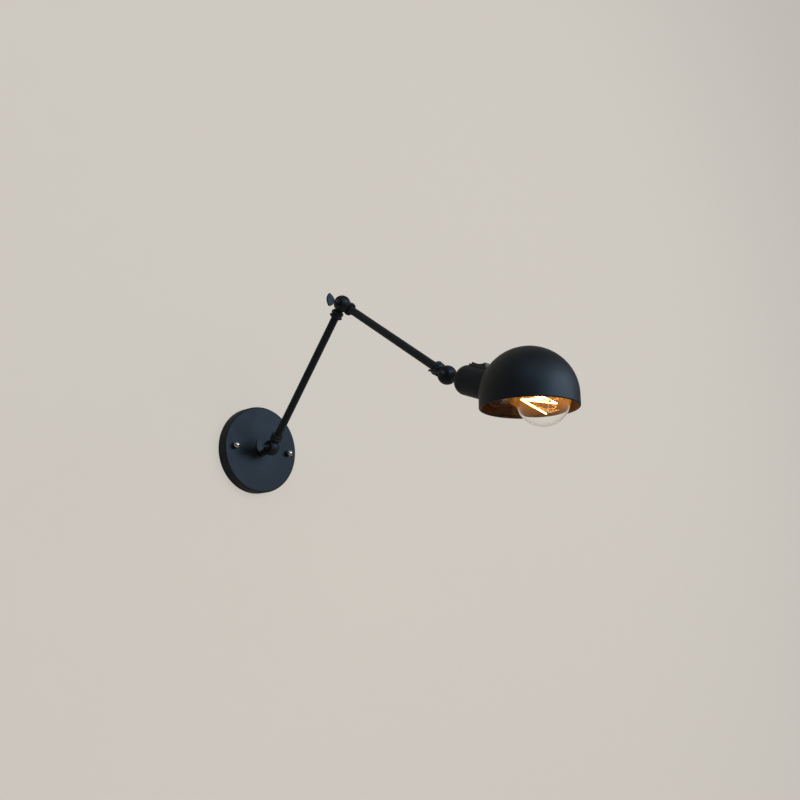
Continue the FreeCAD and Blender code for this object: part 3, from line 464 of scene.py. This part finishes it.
# Wall plate
def plate_cover():
    bore, lip = 5.1, 0.4
    flat, bend = PLATE_R - PLATE_EDGE, PLATE_DEPTH - PLATE_EDGE
    inside, inside_r = PLATE_DEPTH - PLATE_SHEET, PLATE_R - PLATE_SHEET
    bm = bmesh.new()
    outline(
        bm,
        (PLATE_R, lip),
        (PLATE_R, bend),
        (flat, bend, 90),
        (bore + lip, PLATE_DEPTH),
        (bore + lip, PLATE_DEPTH - lip, 90),
        (bore, inside),
        (flat, inside),
        (flat, bend, -90),
        (inside_r, lip),
        (inside_r + lip, lip, 90),
        (PLATE_R - lip, 0),
        (PLATE_R - lip, lip, 90),
        closed=False,
    )
    turn(bm, steps=160)
    piece("plate_cover", bm, WALL, "black_paint", "wall_base", "wall_plate")


def ball_nuts():
    """Two bright ball nuts on short feet, each with a bore for its stud."""
    ball, foot, rise, bore, bore_depth = 4.75, 3.0, 0.8, 2.05, 5.3
    middle = rise + sqrt(ball ** 2 - foot ** 2)
    low = degrees(asin((rise - middle) / ball))
    bm = bmesh.new()
    outline(
        bm,
        (0, bore_depth),
        (bore, bore_depth),
        (bore, 0),
        (foot, 0),
        (foot, rise),
        (0, middle, 90 - low),
        closed=False,
    )
    turn(bm, steps=64)
    twin = bmesh.ops.duplicate(bm, geom=all_of(bm))["geom"]
    bmesh.ops.translate(bm, verts=corners_in(twin), vec=(-2 * STUD_OFFSET, 0, 0))
    where = WALL @ moved(STUD_OFFSET, 0, PLATE_DEPTH)
    piece("chrome_ball_nuts", bm, where, "chrome", "wall_base", "ball_nuts")


# Thumb screws
def thumb_leaf(root, foot):
    """The flat leaf of a thumb screw with soft edges, tucked into its hub."""
    half, shoulder, edge, sheet, soft = 8.65, 21.0, 22.6, 2.4, 0.85
    side_r, corner_r, end_r = 18, 1.2, 11.8
    tuck, narrowing = 1, 0.35
    corners = [
        (-root, foot), (-shoulder, half), (-edge, half), (-edge, -half), (-shoulder, -half), (-root, -foot)
    ]
    radii = [side_r, corner_r, end_r, corner_r, side_r]
    arcs = [bow(*ends, radius, 1) for *ends, radius in zip(corners, corners[1:], radii)]
    bm = bmesh.new()
    outline(bm, (-root + tuck, foot - narrowing), corners[0], *arcs, (-root + tuck, -foot + narrowing))
    slab(bm, sheet)
    ease(bm, rim_edges(bm), soft, segments=4)
    return bm


def thumb_screw(joint, body):
    """A turned hub on the pivot that runs out into its leaf."""
    flange_r, flange_in, flange_out, corner = 4.4, 7.25, 8.45, 0.25
    groove, groove_width = 0.1, 0.3
    shank_r, root, neck_r = 2.2, 13.4, 6
    tip_r, tip, nose, taper_r = 1.0, root + 4.5, root + 4.8, 9
    hub = bmesh.new()
    outline(
        hub,
        (0, flange_in),
        (flange_r - corner, flange_in),
        (flange_r - corner, flange_in + corner, 90),
        (flange_r, flange_out - groove_width),
        (flange_r - groove, flange_out),
        (flange_r, flange_out),
        bow((flange_r, flange_out), (shank_r, root), neck_r, -1),
        bow((shank_r, root), (tip_r, tip), taper_r, 1),
        (0, nose),
        closed=False,
    )
    turn(hub, steps=48)
    bmesh.ops.rotate(hub, verts=hub.verts[:], matrix=Matrix.Rotation(radians(-90), 3, "Y"))
    join(hub, thumb_leaf(root, shank_r))
    weigh(piece(f"{joint}_thumb_leaf", hub, PIVOTS[joint], "black_paint", body, f"{joint}_thumb_screw"))


# Lamp holder
def dome_at(radius, off_axis):
    """How far along the holder's axis a dome of a radius lies, at a distance from that axis."""
    return SHADE_OUT - sqrt(radius ** 2 - off_axis ** 2)


def holder_cup():
    """The cup with its round shoulder, its mouth just clear of the dome, and the switch's window."""
    hole, lip = 5.05, 0.3
    flat, inner = CAP_R - CAP_SHOULDER, CAP_R - CAP_WALL
    bend = CAP_START + CAP_SHOULDER
    mouth = dome_at(SHADE_R + FACE_GAP, CAP_R)
    bm = bmesh.new()
    outline(
        bm,
        (hole, CAP_START),
        (flat, CAP_START),
        (flat, bend, 90),
        (CAP_R, mouth - lip),
        (CAP_R - lip, mouth - lip, 90),
        (inner, dome_at(SHADE_R + FACE_GAP, inner)),
        (inner, bend),
        (flat, bend, -90),
        (hole, CAP_START + CAP_WALL),
    )
    turn(bm, steps=128)
    switch_window(bm)
    piece("holder_cup", bm, HEAD, "black_paint", "lamp_head", "holder_cap")


def faces_between(bm, low, high):
    """The faces whose middle lies between two corners."""
    return [
        face for face in bm.faces
        if all(a < m < b for a, m, b in zip(low, face.calc_center_median(), high))
    ]


def switch_window(bm):
    """Opens the cup's side for the switch and closes the wall round the opening."""
    half_x, half_z = BEZEL_X - BEZEL_RIM, BEZEL_Z - BEZEL_RIM
    for middle, normal, half in ((0, (1, 0, 0), half_x), (SWITCH_OUT, (0, 0, 1), half_z)):
        for side in (-1, 1):
            level = Vector(normal) * (middle + side * half)
            bmesh.ops.bisect_plane(bm, geom=all_of(bm), plane_co=level, plane_no=normal, dist=SLIVER)
    low = (-half_x, 0, SWITCH_OUT - half_z)
    high = (half_x, 2 * CAP_R, SWITCH_OUT + half_z)
    bmesh.ops.delete(bm, geom=faces_between(bm, low, high), context="FACES")
    bmesh.ops.bridge_loops(bm, edges=open_edges(bm))
    bmesh.ops.recalc_face_normals(bm, faces=bm.faces[:])


def switch_bezel():
    """A rim on the cup with the tub's walls below it."""
    corner, top_edge, upright_from, near = 0.7, 0.4, 1, 0.01
    bm = bmesh.new()
    bmesh.ops.create_grid(bm, x_segments=1, y_segments=1, size=1)
    flat = Matrix.Rotation(radians(90), 4, "X") @ Matrix.Diagonal((BEZEL_X, BEZEL_Z, 1, 1))
    bm.transform(moved(0, BEZEL_TOP, SWITCH_OUT) @ flat)
    bm.normal_update()
    opening = bm.faces[:]
    bmesh.ops.inset_region(bm, faces=opening, thickness=BEZEL_WALL, use_boundary=True, use_even_offset=True)
    bmesh.ops.delete(bm, geom=opening, context="FACES")
    pulled = bmesh.ops.extrude_face_region(bm, geom=bm.faces[:])["geom"]
    bmesh.ops.translate(bm, verts=corners_in(pulled), vec=(0, -TUB_DEPTH, 0))
    bmesh.ops.recalc_face_normals(bm, faces=bm.faces[:])
    uprights = [
        edge for edge in rim_edges(bm) if abs(edge.verts[0].co.y - edge.verts[1].co.y) > upright_from
    ]
    ease(bm, uprights, corner, segments=4)
    top = [edge for edge in rim_edges(bm) if min(vert.co.y for vert in edge.verts) > BEZEL_TOP - near]
    ease(bm, top, top_edge, segments=3)
    bmesh.ops.recalc_face_normals(bm, faces=bm.faces[:])
    weigh(piece("switch_bezel", bm, HEAD, "switch_plastic", "lamp_head", "switch_housing"))


def rocker():
    """A saddle-shaped rocker: hollow on top, round at both ends, with softened edges."""
    half, corner, sag, depth, foot, width, soft = 10.5, 5, 1.9, 4, 3.5, 8, 0.45
    reach = sqrt(half ** 2 - corner ** 2)
    hollow = (reach ** 2 + sag ** 2) / (2 * sag)
    bm = bmesh.new()
    outline(
        bm,
        (corner, -reach),
        bow((corner, -reach), (corner, reach), hollow, -1),
        bow((corner, reach), (0, half), half, 1),
        (-depth, foot),
        (-depth, -foot),
        (0, -half),
        bow((0, -half), (corner, -reach), half, 1),
        closed=False,
    )
    bmesh.ops.remove_doubles(bm, verts=bm.verts[:], dist=WELD)
    slab(bm, width)
    ease(bm, rim_edges(bm), soft, segments=3)
    bmesh.ops.rotate(bm, verts=bm.verts[:], matrix=Matrix.Rotation(radians(90), 3, "Z"))
    where = HEAD @ moved(0, ROCKER_PIVOT, SWITCH_OUT) @ Matrix.Rotation(radians(ROCKER_TILT), 4, "X")
    weigh(piece("rocker_key", bm, where, "switch_plastic", "rocker", "switch_rocker"))


def sleeve_thread(valley, ridge, low, pitch, turns):
    """A coarse round thread, closed on its inside, which lies in the sleeve's wall."""
    flank, crest, crest_end = 0.3 * pitch, 0.45 * pitch, 0.8 * pitch
    steps, inside = 72, 0.97
    bm = bmesh.new()
    outline(
        bm,
        (valley, low),
        (valley, low + flank),
        (ridge, low + crest),
        (ridge, low + crest_end),
        (valley, low + pitch),
        closed=False,
    )
    bmesh.ops.spin(
        bm, geom=all_of(bm), cent=(0, 0, 0), axis=(0, 0, 1), dvec=(0, 0, pitch / steps),
        angle=2 * pi * turns, steps=steps * turns,
    )
    seal(bm)
    ends = bmesh.ops.extrude_edge_only(bm, edges=open_edges(bm))["geom"]
    bmesh.ops.scale(bm, verts=corners_in(ends), vec=(inside, inside, 1))
    bmesh.ops.bridge_loops(bm, edges=open_edges(bm))
    bmesh.ops.recalc_face_normals(bm, faces=bm.faces[:])
    return bm


def holder_thread():
    """The sleeve in the shade, with the thread that the clamp ring runs on."""
    pitch, depth, crest_depth, turns, plain_end = 2.0, 0.5, 0.15, 9, 3
    lip, cover = 0.4, 0.02
    top = SLEEVE_END - plain_end
    low = top - pitch * (turns + 1)
    valley = SLEEVE_R - depth
    bm = bmesh.new()
    outline(
        bm,
        (SLEEVE_IN, SLEEVE_START),
        (SLEEVE_R, SLEEVE_START),
        (SLEEVE_R, low + pitch / 2),
        (valley + cover, low + pitch / 2),
        (valley + cover, top - pitch / 2),
        (SLEEVE_R, top - pitch / 2),
        (SLEEVE_R, SLEEVE_END - lip),
        (SLEEVE_R - lip, SLEEVE_END - lip, 90),
        (SLEEVE_IN + lip, SLEEVE_END),
        (SLEEVE_IN + lip, SLEEVE_END - lip, 90),
    )
    turn(bm, steps=96)
    join(bm, sleeve_thread(valley, SLEEVE_R - crest_depth, low, pitch, turns))
    piece("holder_thread", bm, HEAD, "holder_plastic", "lamp_head", "holder_sleeve")


def clamp_ring():
    """The ring under the dome, with grips pressed into its rim."""
    rim, bore, height, edge = 20.5, 15.25, 5, 0.8
    grip_rim, grip_depth, upright = 0.35, 0.45, 0.1
    seat = SHADE_R - SHADE_SHEET - FACE_GAP
    low, bore_low = dome_at(seat, rim), dome_at(seat, bore)
    high = low + height
    bm = bmesh.new()
    outline(
        bm,
        (bore, bore_low),
        bow((bore, bore_low), (rim, low), seat, 1),
        (rim, high - edge),
        (rim - edge, high - edge, 90),
        (bore, high),
    )
    turn(bm, steps=48)
    grips = [
        face for face in bm.faces
        if abs(face.normal.z) < upright and face.normal.dot(face.calc_center_median()) > 0
    ]
    bmesh.ops.inset_individual(bm, faces=grips, thickness=grip_rim, depth=-grip_depth, use_even_offset=True)
    piece("clamp_ring", bm, HEAD, "holder_plastic", "lamp_head", "shade_ring")


def shade_dome():
    """A half-round dome with a short skirt, and a rolled bead round its lip."""
    inner = SHADE_R - SHADE_SHEET
    lip = -SHADE_SKIRT
    drop = BEAD_R * sqrt(1 - (1 - SHADE_SHEET / BEAD_R) ** 2)
    bm = bmesh.new()
    outline(
        bm,
        (0, inner),
        (0, 0, -90),
        (inner, lip + drop),
        bow((inner, lip + drop), (SHADE_R - 2 * BEAD_R, lip), BEAD_R, 1),
        (SHADE_R - BEAD_R, lip, 180),
        (SHADE_R, 0),
        (0, 0, 90),
        closed=False,
    )
    turn(bm, steps=160)
    piece("shade_dome", bm, SHADE, "black_paint", "lamp_head", "shade")


# Bulb
def bulb_envelope():
    """A round bulb that runs into its neck in a hollow curve, blown with a thin wall."""
    lean = radians(BULB_SHOULDER)
    flare = (BULB_R * cos(lean) - BULB_NECK) / (1 - cos(lean))
    waist = BULB_MIDDLE - (BULB_R + flare) * sin(lean)
    bm = bmesh.new()
    for neck in (BULB_NECK, BULB_NECK - BULB_GLASS):
        outline(
            bm,
            (neck, NECK_FOOT),
            (neck, waist),
            (BULB_NECK + flare, waist, -BULB_SHOULDER),
            (0, BULB_MIDDLE, 90 + BULB_SHOULDER),
            closed=False,
        )
    bm.edges.new([vert for vert in bm.verts if abs(vert.co.z - NECK_FOOT) < SLIVER])
    turn(bm, steps=96)
    piece("bulb_envelope", bm, HEAD, "clear_glass", "lamp_head", "bulb_glass")


def wire(bm, route, thickness):
    """Adds a round wire along a route of points to a shape."""
    line = bpy.data.curves.new("wire_line", "CURVE")
    line.dimensions = "3D"
    line.bevel_depth = thickness / 2
    line.bevel_resolution = 2
    line.use_fill_caps = True
    strand = line.splines.new("NURBS")
    strand.points.add(len(route) - 1)
    for point, place in zip(strand.points, route):
        point.co = (*place, 1)
    strand.order_u = 3
    strand.use_endpoint_u = True
    strand.resolution_u = 6
    carrier = bpy.data.objects.new("wire_line", line)
    drawn = bpy.data.meshes.new_from_object(carrier)
    bm.from_mesh(drawn)
    seal(bm)
    bpy.data.objects.remove(carrier)
    bpy.data.curves.remove(line)
    bpy.data.meshes.remove(drawn)


def filament_bend(step):
    """A bend of the filament: odd ones hang on the far hooks, even ones on the near hooks."""
    level, reach = (FILAMENT_HIGH, FILAMENT_HIGH_R) if step % 2 else (FILAMENT_LOW, FILAMENT_LOW_R)
    spread = {0: FILAMENT_SPLIT, 2 * FILAMENT_HOOKS: -FILAMENT_SPLIT}.get(step, 0)
    angle = radians(180 / FILAMENT_HOOKS * (step - 1) + spread)
    return Vector((reach * cos(angle), reach * sin(angle), NECK_FOOT + level))


def filament():
    """One glowing wire that zigzags between the near and the far hooks, and the two wires that feed it."""
    hug, foot_share, knee_share, knee_rise, arch = 0.06, 0.2, 0.75, 2, Vector((0, 0, 1))
    bends = [filament_bend(step) for step in range(2 * FILAMENT_HOOKS + 1)]
    route = [bends[0]]
    for before, bend, after in zip(bends, bends[1:], bends[2:]):
        route += [bend.lerp(before, hug), bend, bend.lerp(after, hug)]
    bm = bmesh.new()
    wire(bm, [*route, bends[-1]], FILAMENT_THICK)
    piece("glowing_filament", bm, HEAD, "filament_wire", "lamp_head", "bulb_filament")
    bm = bmesh.new()
    for end in (bends[0], bends[-1]):
        foot = Vector((end.x * foot_share, end.y * foot_share, STEM_PINCH))
        knee = Vector((end.x * knee_share, end.y * knee_share, STEM_PINCH + knee_rise))
        wire(bm, [foot, foot.lerp(knee, 0.5) + arch, knee, end], FEED_THICK)
    piece("feed_wires", bm, HEAD, "support_wire", "lamp_head")


plate_cover()
ball_nuts()
for joint in PIVOTS:
    thumb_screw(joint, f"{joint}_wing")
holder_cup()
switch_bezel()
rocker()
holder_thread()
clamp_ring()
shade_dome()
bulb_envelope()
filament()


# Stage, in metres. The wall has a hole behind the plate, so that the plate's inside shows from behind.
STUDIO_TONE = (0.74, 0.71, 0.66, 1)
FILL_TONE = (1.0, 0.90, 0.78, 1)
FILL_STRENGTH = 0.07
MIRRORED = 0.12
WALL_LIFT = 0.68
FLOOR_LIFT = 0.86
BACKDROP_R = 9
FLOOR_UP = -1.1
FLOOR_HOLE = 0.001
PLATE_HOLE = 0.056
WALL_GAP = 0.0004


def seen(finish):
    """1 for what is looked at, also through glass, a share of it for what mirrors in the lamp, 0 for what
    only gives light."""
    ways = {"Camera": 1, "Transmission": 1, "Glossy": MIRRORED}
    return sum(finish.node("LightPath", {}, {}, f"Is {way} Ray") * share for way, share in ways.items())


def stage_paint(name, lift):
    """Plain paint that is open from behind, lifted towards the studio's pale tone where it is seen."""
    paint = Finish(name)
    mottle = paint.noise(size=40, detail=3)
    colour = paint.blend(mottle, (0.48, 0.38, 0.28), (0.51, 0.41, 0.31))
    plain = paint.surface(Base_Color=colour, Roughness=0.9)
    tone = paint.node("Emission", {}, {"Color": STUDIO_TONE}, "Emission")
    behind = paint.node("NewGeometry", {}, {}, "Backfacing")
    nothing = paint.node("BsdfTransparent", {}, {}, "BSDF")
    return paint.done(paint.mixed(behind, paint.mixed(seen(paint) * lift, plain, tone), nothing))


def backdrop(name, hole, where, paint):
    """A wide round sheet with a hole in its middle, part of the stage."""
    bm = bmesh.new()
    for radius in (hole, BACKDROP_R):
        bmesh.ops.create_circle(bm, cap_ends=False, radius=radius, segments=96)
    bmesh.ops.bridge_loops(bm, edges=bm.edges[:])
    bm.normal_update()
    bmesh.ops.reverse_faces(bm, faces=[face for face in bm.faces if face.normal.z < 0])
    bm.transform(where)
    made = cast(name, bm, paint)


WALL_PLANE = moved(y=WALL_GAP) @ Matrix.Rotation(radians(90), 4, "X")
backdrop("wall", PLATE_HOLE, WALL_PLANE, stage_paint("wall_paint", WALL_LIFT))
backdrop("floor", FLOOR_HOLE, moved(z=FLOOR_UP), stage_paint("floor_paint", FLOOR_LIFT))

air = Finish("studio", bpy.data.worlds)
fill = air.node("Background", {}, {"Color": FILL_TONE, "Strength": FILL_STRENGTH}, "Background")
pale_air = air.node("Background", {}, {"Color": STUDIO_TONE}, "Background")
bpy.context.scene.world = air.done(air.mixed(seen(air), fill, pale_air), "OutputWorld")


# Light
GLOW_OUT = 42
GLOW_R = 0.012


def softbox(name, place, aim, size, power, colour):
    lamp = bpy.data.lights.new(name, "AREA")
    lamp.shape = "RECTANGLE"
    lamp.size, lamp.size_y = size
    lamp.energy = power
    lamp.color = colour
    made = put(name, lamp)
    made.location = place
    made.rotation_euler = (Vector(aim) - Vector(place)).to_track_quat("-Z", "Y").to_euler()


softbox(
    "window_light", place=(0.68, -2.35, 0.73), aim=(0, -0.25, 0.05), size=(2.6, 1.3), power=54,
    colour=(0.80, 0.90, 1.0),
)
softbox(
    "sky_light", place=(-1.3, -1.7, 1.7), aim=(0, -0.35, 0), size=(1.6, 1.2), power=10,
    colour=(0.68, 0.84, 1.0),
)
softbox(
    "back_light", place=(0.1, 1.3, -0.35), aim=(0, 0, 0), size=(1.6, 1.2), power=9,
    colour=(1.0, 1.0, 1.0),
)

glow = bpy.data.lights.new("bulb_glow", "POINT")
glow.energy = 1.25
glow.color = (1.0, 0.27, 0.04)
glow.shadow_soft_size = GLOW_R
glow_at = put("bulb_glow", glow)
glow_at.visible_camera = False
glow_at.visible_glossy = False
glow_at.visible_transmission = False
glow_at.location = HEAD @ Vector((0, 0, NECK_FOOT + GLOW_OUT))
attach(glow_at, "lamp_head")


# Camera, in metres and radians
CAMERA_PLACE = (-0.67029, -0.93723, -0.20215)
CAMERA_TILT = 0.2385
CAMERA_TURN = -0.7986

view = bpy.data.cameras.new("camera")
view.sensor_fit = "HORIZONTAL"
view.sensor_width = 36
view.lens = 36.86
camera = put("camera", view)
camera.location = CAMERA_PLACE
camera.rotation_euler = (pi / 2 + CAMERA_TILT, 0, CAMERA_TURN)
bpy.context.scene.camera = camera
bpy.context.scene.view_settings.view_transform = "Standard"
